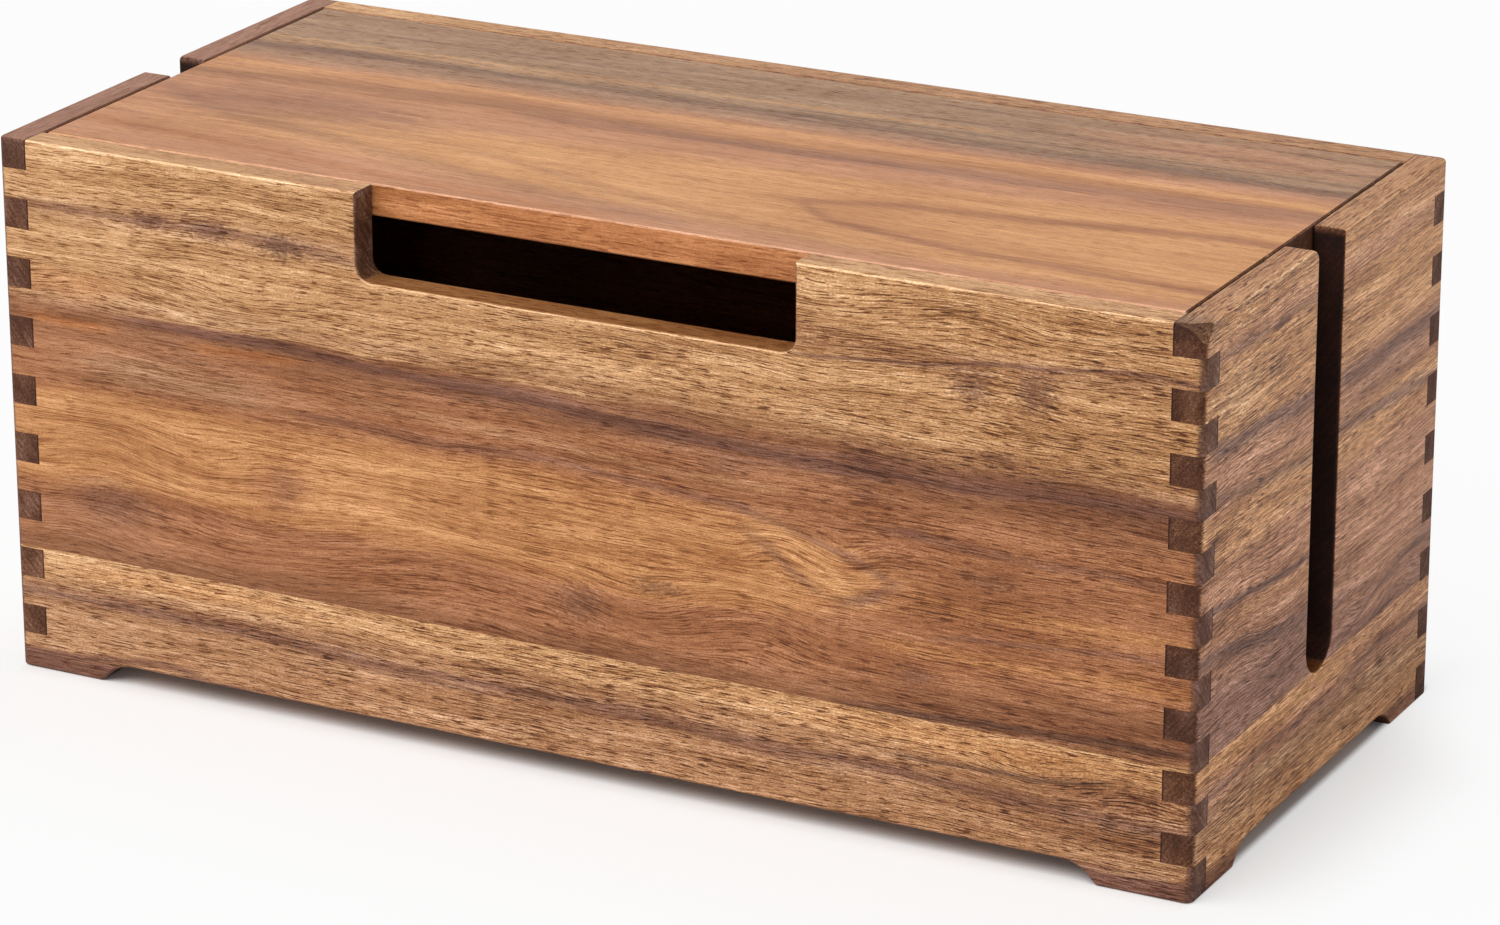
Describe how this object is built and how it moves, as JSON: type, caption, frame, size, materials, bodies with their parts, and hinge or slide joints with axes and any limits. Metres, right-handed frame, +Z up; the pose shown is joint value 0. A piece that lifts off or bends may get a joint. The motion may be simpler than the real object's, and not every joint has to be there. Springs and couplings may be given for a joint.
{
  "type": "cable management box",
  "caption": "Rectangular finger-jointed wooden box with a drop-in lift-off lid, a hand notch in front, a cable slot in each end and bracket feet.",
  "frame": {"origin": "centre of the footprint at the level that the feet stand on", "axes": "+X along the length towards the right end, +Z up, and the front with the hand notch faces -Y"},
  "size_m": [0.4, 0.182, 0.173],
  "materials": {
    "long_wall_wood": "oiled satin",
    "end_wall_wood": "oiled satin",
    "lower_stave_wood": "oiled satin",
    "lid_wood": "oiled satin",
    "panel_wood": "oiled satin",
    "rest_wood": "oiled satin"
  },
  "bodies": {
    "box": {"front_wall_upper_stave": "long_wall_wood", "front_wall_lower_stave": "lower_stave_wood", "back_wall_upper_stave": "long_wall_wood", "back_wall_lower_stave": "lower_stave_wood", "left_end_front_stave": "end_wall_wood", "left_end_back_stave": "end_wall_wood", "left_end_lower_stave": "lower_stave_wood", "right_end_front_stave": "end_wall_wood", "right_end_back_stave": "end_wall_wood", "right_end_lower_stave": "lower_stave_wood", "bottom_panel": "panel_wood", "lid_rest_left_front": "rest_wood", "lid_rest_left_back": "rest_wood", "lid_rest_right_front": "rest_wood", "lid_rest_right_back": "rest_wood"},
    "lid": {"lid": "lid_wood"}
  },
  "joints": [
    {"name": "lid_lift", "type": "slide", "parent": "box", "child": "lid", "axis": [0, 0, 1], "range_m": [0, 0.08]}
  ]
}
